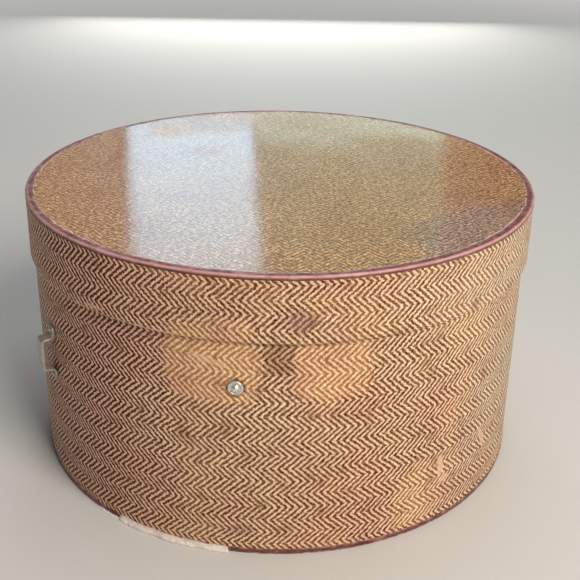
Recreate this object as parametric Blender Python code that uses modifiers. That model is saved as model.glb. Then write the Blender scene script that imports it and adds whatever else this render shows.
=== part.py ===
"""Round lidded hat box: board hoops and discs covered in printed paper, with cloth-bound edges.

Metres, +Z up. The origin is the middle of the underside, and the box stands on z = 0.
The lid lifts straight off along +Z. The strap loops are on the -X and +X sides, and the
front strap stud is between the left loop and the front (-Y), with its pair opposite.
"""
from math import cos, pi, radians, sin, tan

import bmesh
import bpy
from mathutils import Matrix, Vector

# Driving dimensions, in metres ------------------------------------------------------------
BODY_RADIUS = 0.1994            # outside of the body's covering
BODY_HEIGHT = 0.2167            # underside to the mouth, covering included
WALL_BOARD = 0.0024             # thickness of the body hoop
BASE_BOARD = 0.0030             # thickness of the base disc
SKIRT_BOARD = 0.0015            # thickness of the lid hoop
LID_BOARD = 0.0022              # thickness of the lid disc
PAPER = 0.0004                  # covering paper, with its glue
LINING = 0.0004                 # lining paper, with its glue
MOUTH_TURN_IN = 0.0120          # covering turned over the mouth and down inside

LID_DEPTH = 0.0487              # outside depth of the lid, top to lower edge
LID_CLEARANCE = 0.0005          # radial slack between the lid's inside and the body
SKIRT_TURN_IN = 0.0150          # covering turned up inside the skirt

LID_BINDING = 0.0008            # cloth over the lid's top edge
LID_BINDING_DROP = 0.0032       # its height on the skirt
LID_BINDING_WIDTH = 0.0070      # its width on the top, bead included
LID_EDGE_ROUND = 0.0022         # radius of the rounded top edge
BASE_BINDING = 0.0006           # cloth round the bottom edge
BASE_BINDING_HEIGHT = 0.0045    # its height on the wall
BASE_BINDING_TURN = 0.0100      # its width under the base
BASE_EDGE_ROUND = 0.0012        # radius of the rounded bottom edge
TEAR_FROM = radians(-67.6)      # the torn-away stretch of the base binding, as angles
TEAR_TO = radians(-40.5)        # from the front, positive towards +X

STUD_ANGLE = radians(-39.1)     # front stud, from the front; the rear stud is opposite
STUD_BELOW_LID = 0.0356         # from the lid's lower edge down to the stud's middle
STUD_FLANGE_RIM = 0.0013        # height of the flange's rolled rim
STUD_FLANGE_RIM_WIDTH = 0.0014
STUD_FLANGE_FLOOR = 0.0006      # thickness of the flange inside its rim
STUD_GROOVE = 0.0009            # between the head and the rim
STUD_HEAD_RADIUS = 0.0031
STUD_HEAD_HEIGHT = 0.0022
STUD_SHANK_RADIUS = 0.0015
STUD_WASHER_RADIUS = 0.0045

LOOP_ANGLE = radians(-90.0)     # left loop, from the front; the right loop is opposite
LOOP_BELOW_LID = 0.0617         # from the lid's lower edge down to the loop's middle
LOOP_BAR_LENGTH = 0.0262        # bar, between the bends at its ends
LOOP_SPLAY = 0.0009             # how far each leg leans out from the bar to its foot
LOOP_STAND = 0.0110             # outside of the bar from the wall
LOOP_WIDTH = 0.0108
LOOP_STRIP = 0.0016             # thickness of the bent strip
LOOP_BEND = 0.0022              # radius of its bends, at the middle of the strip
LOOP_PLATE_WIDTH = 0.0100
LOOP_FOOT_MARGIN = 0.0008       # foot past the rivet's head, at its end
LOOP_BEND_MARGIN = 0.0022       # foot between the rivet's head and the bend
RIVET_HEAD_RADIUS = 0.0026
RIVET_HEAD_HEIGHT = 0.0013
RIVET_SHANK_RADIUS = 0.0013

INSIDE_METAL = 0.0008           # thickness of the stud washers and the loop backing plates
CLINCH = 0.0006                 # thickness of a fastener's spread inner end
CLINCH_SPREAD = 0.0011          # how far that end spreads past the shank
GAP = 0.0003                    # glue line or clearance between pieces that touch

ROUND_LIMIT = 3.0               # widest rounding of an edge, in thicknesses of its cloth
RING_STEPS = 72                 # facets round a hoop
FASTENER_STEPS = 20             # facets round a stud or rivet
HOLE_STEPS = 16                 # facets round a fastener's hole
MERGE = 0.00005                 # merging distance of the turned shapes

# Radii and heights that follow from them ------------------------------------------------------
HOOP_OUTER = BODY_RADIUS - PAPER - GAP
HOOP_INNER = HOOP_OUTER - WALL_BOARD
LINING_OUTER = HOOP_INNER - GAP
LINING_INNER = LINING_OUTER - max(LINING, PAPER)
BOARD_FOOT = BASE_BINDING + GAP
BASE_TOP = BOARD_FOOT + BASE_BOARD
HOOP_TOP = BODY_HEIGHT - PAPER - GAP
MOUTH_TURN_END = BODY_HEIGHT - MOUTH_TURN_IN
BASE_BINDING_OUTER = HOOP_OUTER + GAP + BASE_BINDING
BASE_BINDING_INNER = BASE_BINDING_OUTER - BASE_BINDING_TURN

SKIRT_LINING_INNER = BODY_RADIUS + LID_CLEARANCE
SKIRT_LINING_OUTER = SKIRT_LINING_INNER + max(LINING, PAPER)
SKIRT_INNER = SKIRT_LINING_OUTER + GAP
SKIRT_OUTER = SKIRT_INNER + SKIRT_BOARD
SKIRT_COVER_OUTER = SKIRT_OUTER + GAP + PAPER
LID_RADIUS = SKIRT_OUTER + GAP + LID_BINDING
LID_BINDING_INNER = LID_RADIUS - LID_BINDING_WIDTH

LID_SEAT = BODY_HEIGHT + GAP    # the underside of the lid's lining; lid heights count from here
LID_DISC_FOOT = LINING + GAP
LID_DISC_TOP = LID_DISC_FOOT + LID_BOARD
LID_TOP = LID_DISC_TOP + GAP + LID_BINDING
LID_FOOT = LID_TOP - LID_DEPTH

STUD_HEIGHT = LID_SEAT + LID_FOOT - STUD_BELOW_LID
STUD_FLANGE_RADIUS = STUD_HEAD_RADIUS + STUD_GROOVE + STUD_FLANGE_RIM_WIDTH

LOOP_HEIGHT = LID_SEAT + LID_FOOT - LOOP_BELOW_LID
LOOP_ROOT = LOOP_BAR_LENGTH / 2 + LOOP_SPLAY
RIVET_OFFSET = LOOP_ROOT + LOOP_BEND_MARGIN + RIVET_HEAD_RADIUS
LOOP_END = RIVET_OFFSET + RIVET_HEAD_RADIUS + LOOP_FOOT_MARGIN
LOOP_FOOT_TOP = GAP + LOOP_STRIP


# Scene, materials and small helpers -----------------------------------------------------------
def clear_scene():
    for old in list(bpy.data.objects):
        bpy.data.objects.remove(old, do_unlink=True)


def new_collection(name):
    group = bpy.data.collections.new(name)
    bpy.context.scene.collection.children.link(group)
    return group


clear_scene()
HAT_BOX = new_collection("hat_box")
CUTTERS = new_collection("cutters")


def finish(name, colour, roughness, metallic=0.0):
    """A plain Principled material."""
    material = bpy.data.materials.new(name)
    material.use_nodes = True
    shader = material.node_tree.nodes["Principled BSDF"]
    shader.inputs["Base Color"].default_value = (*colour, 1.0)
    shader.inputs["Roughness"].default_value = roughness
    shader.inputs["Metallic"].default_value = metallic
    return material


def add_object(name, data, colour, roughness, metallic=0.0, parent=None):
    """An object of the hat box, with a material of its own."""
    piece = bpy.data.objects.new(name, data)
    HAT_BOX.objects.link(piece)
    data.materials.append(finish(name, colour, roughness, metallic))
    piece.parent = parent
    return piece


def add_empty(name, location=(0.0, 0.0, 0.0), rotation=(0.0, 0.0, 0.0)):
    empty = bpy.data.objects.new(name, None)
    HAT_BOX.objects.link(empty)
    empty.location = location
    empty.rotation_euler = rotation
    return empty


def evaluated_mesh(source):
    """The object's shape with its modifiers or bevel, as a mesh of its own."""
    bpy.context.view_layer.update()
    return bpy.data.meshes.new_from_object(source.evaluated_get(bpy.context.evaluated_depsgraph_get()))


def smooth_round(mesh):
    mesh.shade_smooth()
    mesh.set_sharp_from_angle(angle=radians(35))


def turned_mesh(name, profile, steps, closed):
    """A profile of (radius, height) points, run down its outer side and turned about Z."""
    wire = bpy.data.meshes.new(name)
    edges = [(i, i + 1) for i in range(len(profile) - 1)]
    if closed:
        edges.append((len(profile) - 1, 0))
    wire.from_pydata([(radius, 0.0, height) for radius, height in profile], edges, [])
    holder = bpy.data.objects.new(name, wire)
    bpy.context.scene.collection.objects.link(holder)
    screw = holder.modifiers.new("turn", "SCREW")
    screw.axis = "Z"
    screw.steps = steps
    screw.render_steps = steps
    screw.use_merge_vertices = True
    screw.merge_threshold = MERGE
    mesh = evaluated_mesh(holder)
    bpy.data.objects.remove(holder, do_unlink=True)
    smooth_round(mesh)
    mesh.name = name
    return mesh


def ring(profile, name, steps=RING_STEPS):
    """A ring: its profile is a closed outline clear of the axis."""
    return turned_mesh(name, profile, steps, closed=True)


def solid_of_revolution(profile, name, steps=RING_STEPS):
    """A disc, post or rivet: its profile starts and ends on the axis."""
    return turned_mesh(name, profile, steps, closed=False)


def disc(name, radius, foot, top):
    return solid_of_revolution([(0.0, top), (radius, top), (radius, foot), (0.0, foot)], name)


def tube(name, outer, inner, foot, top):
    return ring([(outer, top), (outer, foot), (inner, foot), (inner, top)], name)


def arc(centre_r, centre_z, radius, start, end, steps):
    """Points of a rounded edge, from one angle to another."""
    points = []
    for i in range(steps + 1):
        angle = start + (end - start) * i / steps
        points.append((centre_r + radius * cos(angle), centre_z + radius * sin(angle)))
    return points


def cut(piece, cutter):
    boolean = piece.modifiers.new("cut_" + cutter.name, "BOOLEAN")
    boolean.operation = "DIFFERENCE"
    boolean.solver = "EXACT"
    boolean.object = cutter


def add_cutter(name, mesh):
    cutter = bpy.data.objects.new(name, mesh)
    CUTTERS.objects.link(cutter)
    cutter.hide_render = True
    cutter.display_type = "WIRE"
    return cutter


def flat_piece_slack(half_width, radius):
    """Depth that a flat piece needs behind it to clear a faceted, curved wall."""
    return radius * (1 - cos(pi / RING_STEPS)) + half_width ** 2 / (2 * radius)


# Stations: empties on the box's axis, whose +Z points out to the wall and +Y points up ---------
def station(name, angle, height):
    return add_empty(name, (0.0, 0.0, height), (pi / 2, 0.0, angle))


def station_matrix(angle, height):
    turn = Matrix.Rotation(angle, 4, "Z") @ Matrix.Rotation(pi / 2, 4, "X")
    return Matrix.Translation((0.0, 0.0, height)) @ turn


STUD_ANGLES = {"front_stud": STUD_ANGLE, "rear_stud": STUD_ANGLE + pi}
LOOP_ANGLES = {"left_loop": LOOP_ANGLE, "right_loop": LOOP_ANGLE + pi}


def make_fastener_holes():
    """One cutter with a pin through the wall for every stud and rivet."""
    reach_in = 2 * (BODY_RADIUS - LINING_INNER) + INSIDE_METAL
    reach_out = 2 * LOOP_FOOT_TOP
    pins = bmesh.new()

    def pin(angle, height, radius, up):
        middle = BODY_RADIUS + (reach_out - reach_in) / 2
        place = station_matrix(angle, height) @ Matrix.Translation((0.0, up, middle))
        bmesh.ops.create_cone(pins, cap_ends=True, segments=HOLE_STEPS, radius1=radius, radius2=radius,
                              depth=reach_in + reach_out, matrix=place)

    for angle in STUD_ANGLES.values():
        pin(angle, STUD_HEIGHT, STUD_SHANK_RADIUS + GAP, 0.0)
    for angle in LOOP_ANGLES.values():
        for side in (1, -1):
            pin(angle, LOOP_HEIGHT, RIVET_SHANK_RADIUS + GAP, side * RIVET_OFFSET)
    mesh = bpy.data.meshes.new("fastener_holes")
    pins.to_mesh(mesh)
    pins.free()
    return add_cutter("fastener_holes", mesh)


def make_tear_wedge():
    """The wedge that takes the torn stretch out of the base binding."""
    reach = 2 * BODY_RADIUS
    wedge = bpy.data.curves.new("tear_wedge", "CURVE")
    wedge.dimensions = "2D"
    wedge.fill_mode = "BOTH"
    wedge.extrude = 2 * BASE_BINDING_HEIGHT
    outline = wedge.splines.new("POLY")
    outline.points.add(2)
    outline.points[0].co = (0.0, 0.0, 0.0, 1.0)
    outline.points[1].co = (reach * sin(TEAR_FROM), -reach * cos(TEAR_FROM), 0.0, 1.0)
    outline.points[2].co = (reach * sin(TEAR_TO), -reach * cos(TEAR_TO), 0.0, 1.0)
    outline.use_cyclic_u = True
    holder = bpy.data.objects.new("tear_wedge_outline", wedge)
    bpy.context.scene.collection.objects.link(holder)
    mesh = weld_caps(evaluated_mesh(holder))
    bpy.data.objects.remove(holder, do_unlink=True)
    return add_cutter("tear_wedge", mesh)


def weld_caps(mesh):
    """A curve's fill joined to its sides, with the faces pointing out."""
    work = bmesh.new()
    work.from_mesh(mesh)
    bmesh.ops.remove_doubles(work, verts=work.verts, dist=MERGE)
    bmesh.ops.recalc_face_normals(work, faces=work.faces)
    work.to_mesh(mesh)
    work.free()
    return mesh


FASTENER_HOLES = make_fastener_holes()
TEAR_WEDGE = make_tear_wedge()

# Colours, shared by the pieces that are cut from one sheet or roll ------------------------------
HERRINGBONE = (0.42, 0.24, 0.11)
VARNISHED = (0.40, 0.24, 0.12)
OXBLOOD = (0.19, 0.06, 0.06)
BOARD = (0.66, 0.60, 0.52)
LINING_PAPER = (0.72, 0.64, 0.50)
NICKEL = (0.62, 0.61, 0.58)
TINNED = (0.55, 0.55, 0.54)


# The body ---------------------------------------------------------------------------------------
def make_body_hoop():
    wall = tube("body_hoop", HOOP_OUTER, HOOP_INNER, BOARD_FOOT, HOOP_TOP)
    hoop = add_object("body_hoop", wall, BOARD, 0.9)
    cut(hoop, FASTENER_HOLES)


def make_base_disc():
    add_object("base_disc", disc("base_disc", HOOP_INNER - GAP, BOARD_FOOT, BASE_TOP), BOARD, 0.9)


def make_body_covering():
    """Paper up the wall, over the mouth and down the inside."""
    foot = BASE_BINDING_HEIGHT + GAP
    profile = [
        (BODY_RADIUS, BODY_HEIGHT),
        (BODY_RADIUS, foot),
        (BODY_RADIUS - PAPER, foot),
        (BODY_RADIUS - PAPER, BODY_HEIGHT - PAPER),
        (LINING_OUTER, BODY_HEIGHT - PAPER),
        (LINING_OUTER, MOUTH_TURN_END),
        (LINING_OUTER - PAPER, MOUTH_TURN_END),
        (LINING_OUTER - PAPER, BODY_HEIGHT),
    ]
    covering = add_object("body_covering", ring(profile, "body_covering"), HERRINGBONE, 0.45)
    cut(covering, FASTENER_HOLES)


def make_base_binding():
    """Cloth round the foot of the wall and under the base, with the torn stretch gone."""
    radius = min(BASE_EDGE_ROUND, ROUND_LIMIT * BASE_BINDING)
    rounded = arc(BASE_BINDING_OUTER - radius, radius, radius, 0.0, -pi / 2, 3)
    profile = [
        (BASE_BINDING_OUTER, BASE_BINDING_HEIGHT),
        *rounded,
        (BASE_BINDING_INNER, 0.0),
        (BASE_BINDING_INNER, BASE_BINDING),
        (BASE_BINDING_OUTER - BASE_BINDING, BASE_BINDING),
        (BASE_BINDING_OUTER - BASE_BINDING, BASE_BINDING_HEIGHT),
    ]
    binding = add_object("base_binding", ring(profile, "base_binding"), OXBLOOD, 0.6)
    cut(binding, TEAR_WEDGE)


def make_base_paper():
    sheet = disc("base_paper", BASE_BINDING_INNER - GAP, 0.0, BASE_BINDING)
    add_object("base_paper", sheet, LINING_PAPER, 0.85)


def make_body_lining():
    wall = tube("body_lining", LINING_OUTER, LINING_OUTER - LINING, BASE_TOP + GAP, MOUTH_TURN_END - GAP)
    lining = add_object("body_lining", wall, LINING_PAPER, 0.85)
    cut(lining, FASTENER_HOLES)


def make_base_lining():
    foot = BASE_TOP + GAP
    sheet = disc("base_lining", LINING_OUTER - LINING - GAP, foot, foot + LINING)
    add_object("base_lining", sheet, LINING_PAPER, 0.85)


# The lid: its pieces hang from an empty on the lift's axis, at the height of the seat -------------
LID_AXIS = add_empty("lid_lift_axis", (0.0, 0.0, LID_SEAT))


def add_lid_piece(name, mesh, colour, roughness):
    add_object(name, mesh, colour, roughness, parent=LID_AXIS)


def make_lid_hoop():
    foot = LID_FOOT + PAPER + GAP
    add_lid_piece("lid_hoop", tube("lid_hoop", SKIRT_OUTER, SKIRT_INNER, foot, LID_DISC_TOP), BOARD, 0.9)


def make_lid_disc():
    add_lid_piece("lid_disc", disc("lid_disc", SKIRT_INNER - GAP, LID_DISC_FOOT, LID_DISC_TOP), BOARD, 0.9)


def make_lid_skirt_covering():
    """Paper down the skirt, under its lower edge and up the inside."""
    top = LID_TOP - LID_BINDING_DROP - GAP
    turn_top = LID_FOOT + SKIRT_TURN_IN
    profile = [
        (SKIRT_COVER_OUTER, top),
        (SKIRT_COVER_OUTER, LID_FOOT),
        (SKIRT_LINING_OUTER - PAPER, LID_FOOT),
        (SKIRT_LINING_OUTER - PAPER, turn_top),
        (SKIRT_LINING_OUTER, turn_top),
        (SKIRT_LINING_OUTER, LID_FOOT + PAPER),
        (SKIRT_COVER_OUTER - PAPER, LID_FOOT + PAPER),
        (SKIRT_COVER_OUTER - PAPER, top),
    ]
    add_lid_piece("lid_skirt_covering", ring(profile, "lid_skirt_covering"), HERRINGBONE, 0.45)


def make_lid_top_covering():
    foot = LID_DISC_TOP + GAP
    add_lid_piece("lid_top_covering", disc("lid_top_covering", LID_BINDING_INNER - GAP, foot, foot + PAPER),
                  VARNISHED, 0.12)


def make_lid_binding():
    """Cloth over the lid's top edge: a flat part, the rounded edge and a drop on the skirt."""
    foot = LID_TOP - LID_BINDING_DROP
    radius = min(LID_EDGE_ROUND, ROUND_LIMIT * LID_BINDING)
    rounded = arc(LID_RADIUS - radius, LID_TOP - radius, radius, pi / 2, 0.0, 5)
    profile = [
        *rounded,
        (LID_RADIUS, foot),
        (LID_RADIUS - LID_BINDING, foot),
        (LID_RADIUS - LID_BINDING, LID_TOP - LID_BINDING),
        (LID_BINDING_INNER, LID_TOP - LID_BINDING),
        (LID_BINDING_INNER, LID_TOP),
    ]
    add_lid_piece("lid_binding", ring(profile, "lid_binding"), OXBLOOD, 0.5)


def make_lid_lining():
    add_lid_piece("lid_lining", disc("lid_lining", SKIRT_LINING_INNER - GAP, 0.0, LINING), LINING_PAPER, 0.85)


def make_lid_skirt_lining():
    foot = LID_FOOT + SKIRT_TURN_IN + GAP
    wall = tube("lid_skirt_lining", SKIRT_LINING_OUTER, SKIRT_LINING_OUTER - LINING, foot, LINING)
    add_lid_piece("lid_skirt_lining", wall, LINING_PAPER, 0.85)


# Fasteners: heights count outwards from the wall's outside ---------------------------------------
def headed_pin(name, head_radius, head_height, head_foot, shank_radius, inner_face):
    """A domed head, a shank through the wall, and an end spread on the inner metal's face."""
    dome = arc(0.0, 0.0, 1.0, pi / 2, 0.0, 4)[1:]
    clinch_foot = inner_face - GAP - CLINCH
    profile = [
        (0.0, head_foot + head_height),
        *[(head_radius * out, head_foot + head_height * up) for out, up in dome],
        (shank_radius, head_foot),
        (shank_radius, inner_face - GAP),
        (shank_radius + CLINCH_SPREAD, inner_face - GAP),
        (shank_radius + CLINCH_SPREAD / 2, clinch_foot),
        (0.0, clinch_foot),
    ]
    return solid_of_revolution(profile, name, FASTENER_STEPS)


def inside_face(half_width):
    """Where a flat washer or plate begins, inside the lining."""
    return LINING_INNER - BODY_RADIUS - GAP - flat_piece_slack(half_width, LINING_INNER)


def make_stud(name, angle):
    place = station(name + "_station", angle, STUD_HEIGHT)
    hole = STUD_SHANK_RADIUS + GAP
    recess = STUD_FLANGE_RADIUS - STUD_FLANGE_RIM_WIDTH
    floor_top = GAP + STUD_FLANGE_FLOOR
    rim_top = GAP + STUD_FLANGE_RIM
    half_rim = STUD_FLANGE_RIM_WIDTH / 2
    rolled = arc(STUD_FLANGE_RADIUS - half_rim, rim_top - half_rim, half_rim, pi, 0.0, 6)
    flange_profile = [*rolled, (STUD_FLANGE_RADIUS, GAP), (hole, GAP), (hole, floor_top), (recess, floor_top)]
    washer_top = inside_face(STUD_WASHER_RADIUS)
    washer_foot = washer_top - INSIDE_METAL
    shapes = {
        name + "_flange": ring(flange_profile, name + "_flange", FASTENER_STEPS),
        name + "_post": headed_pin(name + "_post", STUD_HEAD_RADIUS, STUD_HEAD_HEIGHT, floor_top + GAP,
                                   STUD_SHANK_RADIUS, washer_foot),
        name + "_washer": ring([(STUD_WASHER_RADIUS, washer_top), (STUD_WASHER_RADIUS, washer_foot),
                                (hole, washer_foot), (hole, washer_top)], name + "_washer", FASTENER_STEPS),
    }
    for piece_name, mesh in shapes.items():
        piece = add_object(piece_name, mesh, NICKEL, 0.3, 1.0, place)
        piece.location = (0.0, 0.0, BODY_RADIUS)


def rounded_path(corners, radius, steps):
    """A path through the corners, with each inner corner turned on an arc of the radius."""
    path = [corners[0]]
    for before, corner, after in zip(corners, corners[1:], corners[2:]):
        into = (corner - before).normalized()
        out = (after - corner).normalized()
        turn = into.angle_signed(out)
        setback = radius * tan(abs(turn) / 2)
        side = Vector((-into.y, into.x)) * (-1 if turn > 0 else 1)
        centre = corner - into * setback + side * radius
        spoke = -side * radius
        for i in range(steps + 1):
            path.append(centre + Matrix.Rotation(-turn * i / steps, 2) @ spoke)
    path.append(corners[-1])
    return path


def make_loop(name, angle):
    """A footman's loop: a flat strip bent out from its two feet into a bar."""
    place = station(name + "_station", angle, LOOP_HEIGHT)
    foot_line = GAP + LOOP_STRIP / 2
    bar_line = LOOP_STAND - LOOP_STRIP / 2
    half = [
        Vector((LOOP_END, foot_line)),
        Vector((LOOP_ROOT, foot_line)),
        Vector((LOOP_BAR_LENGTH / 2, bar_line)),
    ]
    corners = half + [Vector((-point.x, point.y)) for point in reversed(half)]
    path = rounded_path(corners, LOOP_BEND, 3)
    strip = bpy.data.curves.new(name, "CURVE")
    strip.dimensions = "3D"
    strip.extrude = LOOP_WIDTH / 2
    line = strip.splines.new("POLY")
    line.points.add(len(path) - 1)
    for point, place_on_path in zip(line.points, path):
        point.co = (place_on_path.x, place_on_path.y, 0.0, 1.0)
    holder = bpy.data.objects.new(name + "_line", strip)
    bpy.context.scene.collection.objects.link(holder)
    ribbon = weld_caps(evaluated_mesh(holder))
    bpy.data.objects.remove(holder, do_unlink=True)
    ribbon.materials.clear()
    loop = add_object(name, ribbon, TINNED, 0.35, 1.0, place)
    loop.location = (0.0, 0.0, BODY_RADIUS)
    loop.rotation_euler = (pi / 2, 0.0, pi / 2)
    solidify = loop.modifiers.new("strip", "SOLIDIFY")
    solidify.thickness = LOOP_STRIP
    solidify.offset = 0.0
    solidify.use_even_offset = True
    cut(loop, FASTENER_HOLES)

    plate_top = inside_face(LOOP_PLATE_WIDTH / 2)
    plate_foot = plate_top - INSIDE_METAL
    bpy.ops.mesh.primitive_cube_add(size=1.0)
    box = bpy.context.active_object
    box.data.transform(Matrix.Diagonal((LOOP_PLATE_WIDTH, 2 * LOOP_END, INSIDE_METAL, 1.0)))
    plate_mesh = box.data.copy()
    bpy.data.objects.remove(box, do_unlink=True)
    plate = add_object(name + "_backing_plate", plate_mesh, TINNED, 0.4, 1.0, place)
    plate.location = (0.0, 0.0, BODY_RADIUS + (plate_top + plate_foot) / 2)
    cut(plate, FASTENER_HOLES)

    for side, label in ((1, "upper"), (-1, "lower")):
        rivet_name = f"{name}_{label}_rivet"
        mesh = headed_pin(rivet_name, RIVET_HEAD_RADIUS, RIVET_HEAD_HEIGHT, LOOP_FOOT_TOP + GAP,
                          RIVET_SHANK_RADIUS, plate_foot)
        rivet = add_object(rivet_name, mesh, TINNED, 0.35, 1.0, place)
        rivet.location = (0.0, side * RIVET_OFFSET, BODY_RADIUS)


make_body_hoop()
make_base_disc()
make_body_covering()
make_base_binding()
make_base_paper()
make_body_lining()
make_base_lining()
make_lid_hoop()
make_lid_disc()
make_lid_skirt_covering()
make_lid_top_covering()
make_lid_binding()
make_lid_lining()
make_lid_skirt_lining()
for stud_name, stud_angle in STUD_ANGLES.items():
    make_stud(stud_name, stud_angle)
for loop_name, loop_angle in LOOP_ANGLES.items():
    make_loop(loop_name, loop_angle)
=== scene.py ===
"""A round lidded hat box: the finished surfaces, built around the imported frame.

Metres, +Z up, standing on z = 0. Angles count from -Y, the front, towards +X.
"""
from math import atan2, cos, exp, pi, radians, sin, tau

import bmesh
import bpy
from mathutils import Matrix, Vector, noise


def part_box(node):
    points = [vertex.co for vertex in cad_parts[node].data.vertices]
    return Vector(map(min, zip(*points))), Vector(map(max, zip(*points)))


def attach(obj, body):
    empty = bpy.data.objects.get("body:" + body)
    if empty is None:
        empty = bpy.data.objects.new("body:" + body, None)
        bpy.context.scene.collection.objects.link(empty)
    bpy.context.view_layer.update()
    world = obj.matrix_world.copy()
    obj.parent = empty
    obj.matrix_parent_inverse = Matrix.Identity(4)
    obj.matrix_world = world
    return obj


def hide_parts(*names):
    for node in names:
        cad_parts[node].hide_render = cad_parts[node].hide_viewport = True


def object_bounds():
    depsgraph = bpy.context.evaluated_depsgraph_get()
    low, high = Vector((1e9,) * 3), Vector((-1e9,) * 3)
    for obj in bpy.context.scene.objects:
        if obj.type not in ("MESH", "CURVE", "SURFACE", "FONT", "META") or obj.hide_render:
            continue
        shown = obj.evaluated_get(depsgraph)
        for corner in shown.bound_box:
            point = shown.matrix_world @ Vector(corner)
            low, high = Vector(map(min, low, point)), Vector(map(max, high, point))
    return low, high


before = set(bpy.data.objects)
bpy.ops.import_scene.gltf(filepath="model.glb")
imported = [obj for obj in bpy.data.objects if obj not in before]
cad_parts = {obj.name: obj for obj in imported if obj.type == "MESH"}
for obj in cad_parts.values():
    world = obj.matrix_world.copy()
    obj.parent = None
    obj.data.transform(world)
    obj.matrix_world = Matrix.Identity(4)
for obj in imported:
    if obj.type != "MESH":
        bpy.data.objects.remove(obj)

CAD_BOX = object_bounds()


# ---- Board drum and board lid ----
# Two hoops of bent pulp board, each with a board disc glued into one end. They are glued up
# first and covered afterwards, so they show only where a covering or a binding has come away.
def dye(red, green, blue):
    """A colour as it looks on a swatch, from 0 to 255, in the renderer's linear light."""
    parts = [value / 255 for value in (red, green, blue)]
    return (*[part / 12.92 if part < 0.04045 else ((part + 0.055) / 1.055) ** 2.4 for part in parts], 1.0)


def add_node(tree, kind, inputs=None, **settings):
    """A node with its settings, and with its inputs given a value or linked from another node."""
    node = tree.nodes.new("ShaderNode" + kind)
    for setting, value in settings.items():
        setattr(node, setting, value)
    for name, value in (inputs or {}).items():
        if isinstance(value, bpy.types.NodeSocket):
            tree.links.new(value, node.inputs[name])
        else:
            node.inputs[name].default_value = value
    return node


def tree_of(*values):
    """The node tree of the first socket among these values."""
    return next(value.id_data for value in values if isinstance(value, bpy.types.NodeSocket))


def maths(operation, first, second=0.0, clamp=False):
    tree = tree_of(first, second)
    return add_node(tree, "Math", {0: first, 1: second}, operation=operation, use_clamp=clamp).outputs[0]


def times(first, second):
    return maths("MULTIPLY", first, second)


def mix(share, first, second, blend="MIX"):
    """A colour this share of the way from the first to the second."""
    inputs = {0: share, 6: first, 7: second}
    return add_node(tree_of(*inputs.values()), "Mix", inputs, data_type="RGBA", blend_type=blend).outputs[2]


def tint(colour, mask, strength, over):
    return mix(times(mask, strength), colour, over)


def ramp(value, low, high, to_low=0.0, to_high=1.0):
    """A value that goes smoothly from to_low to to_high while the given one goes from low to high."""
    settings = {0: value, 1: low, 2: high, 3: to_low, 4: to_high}
    return add_node(tree_of(value), "MapRange", settings, interpolation_type="SMOOTHSTEP").outputs[0]


def cloud(place, size, detail=3.0, roughness=0.55):
    """Noise whose patches are about this many metres across."""
    scale = maths("DIVIDE", 1.0, size) if isinstance(size, bpy.types.NodeSocket) else 1.0 / size
    inputs = {"Vector": place, "Scale": scale, "Detail": detail, "Roughness": roughness}
    return add_node(tree_of(place), "TexNoise", inputs).outputs["Fac"]


def moved_place(place, location=(0.0, 0.0, 0.0), turn=0.0, scale=(1.0, 1.0, 1.0), kind="POINT"):
    inputs = {"Vector": place, "Location": location, "Rotation": (0.0, 0.0, turn), "Scale": scale}
    return add_node(tree_of(place), "Mapping", inputs, vector_type=kind).outputs[0]


def attribute(tree, name):
    """A value painted on the mesh."""
    return add_node(tree, "Attribute", attribute_name=name).outputs["Fac"]


def object_place(tree):
    return add_node(tree, "TexCoord").outputs["Object"]


def new_group(name, takes, gives):
    """An empty shader node group. Its tree, its inputs to read from and its outputs to feed."""
    tree = bpy.data.node_groups.new(name, "ShaderNodeTree")
    for label in takes:
        kind = "NodeSocketVector" if label == "Place" else "NodeSocketFloat"
        tree.interface.new_socket(label, in_out="INPUT", socket_type=kind)
    for label in gives:
        tree.interface.new_socket(label, in_out="OUTPUT", socket_type="NodeSocketFloat")
    return tree, tree.nodes.new("NodeGroupInput").outputs, tree.nodes.new("NodeGroupOutput").inputs


def use_group(group, **values):
    return add_node(tree_of(*values.values()), "Group", values, node_tree=group).outputs


def new_material(name, roughness=0.5, **constants):
    """A Principled material. Its tree and shader, ready for their patterns."""
    material = bpy.data.materials.new(name)
    material.use_nodes = True
    shader = material.node_tree.nodes["Principled BSDF"]
    shader.inputs["Roughness"].default_value = roughness
    for label, value in constants.items():
        shader.inputs[label.replace("_", " ")].default_value = value
    return material, material.node_tree, shader


def feed(shader, label, value):
    shader.id_data.links.new(value, shader.inputs[label])


def add_relief(shader, height, depth):
    """A bump of this depth in metres where the height goes from 0 to 1."""
    bump = add_node(shader.id_data, "Bump", {"Strength": 1.0, "Distance": depth, "Height": height})
    feed(shader, "Normal", bump.outputs["Normal"])


def make_fibre_group():
    """Pulp and paper fibre: a fine grain and sparse dark flecks."""
    tree, takes, gives = new_group("paper_fibre", ["Place", "Size"], ["Grain", "Flecks"])
    grain = cloud(takes["Place"], takes["Size"], 6.0, 0.7)
    fleck_scale = maths("DIVIDE", 1.0, times(takes["Size"], 1.7))
    spots = add_node(tree, "TexVoronoi", {"Vector": takes["Place"], "Scale": fleck_scale})
    tree.links.new(grain, gives["Grain"])
    tree.links.new(ramp(spots.outputs["Distance"], 0.10, 0.22, 1.0, 0.0), gives["Flecks"])
    return tree


def make_blotch_group():
    """Soft-edged stains of one size. Level is how much of the surface stays clean, near 0.5."""
    tree, takes, gives = new_group("blotches", ["Place", "Size", "Level", "Softness"], ["Mask"])
    stain = cloud(takes["Place"], takes["Size"], 5.0, 0.6)
    low = maths("SUBTRACT", takes["Level"], takes["Softness"])
    high = maths("ADD", takes["Level"], takes["Softness"])
    tree.links.new(ramp(stain, low, high), gives["Mask"])
    return tree


FIBRE = make_fibre_group()
BLOTCHES = make_blotch_group()


def blotches(place, size, level, softness):
    return use_group(BLOTCHES, Place=place, Size=size, Level=level, Softness=softness)["Mask"]


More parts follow.
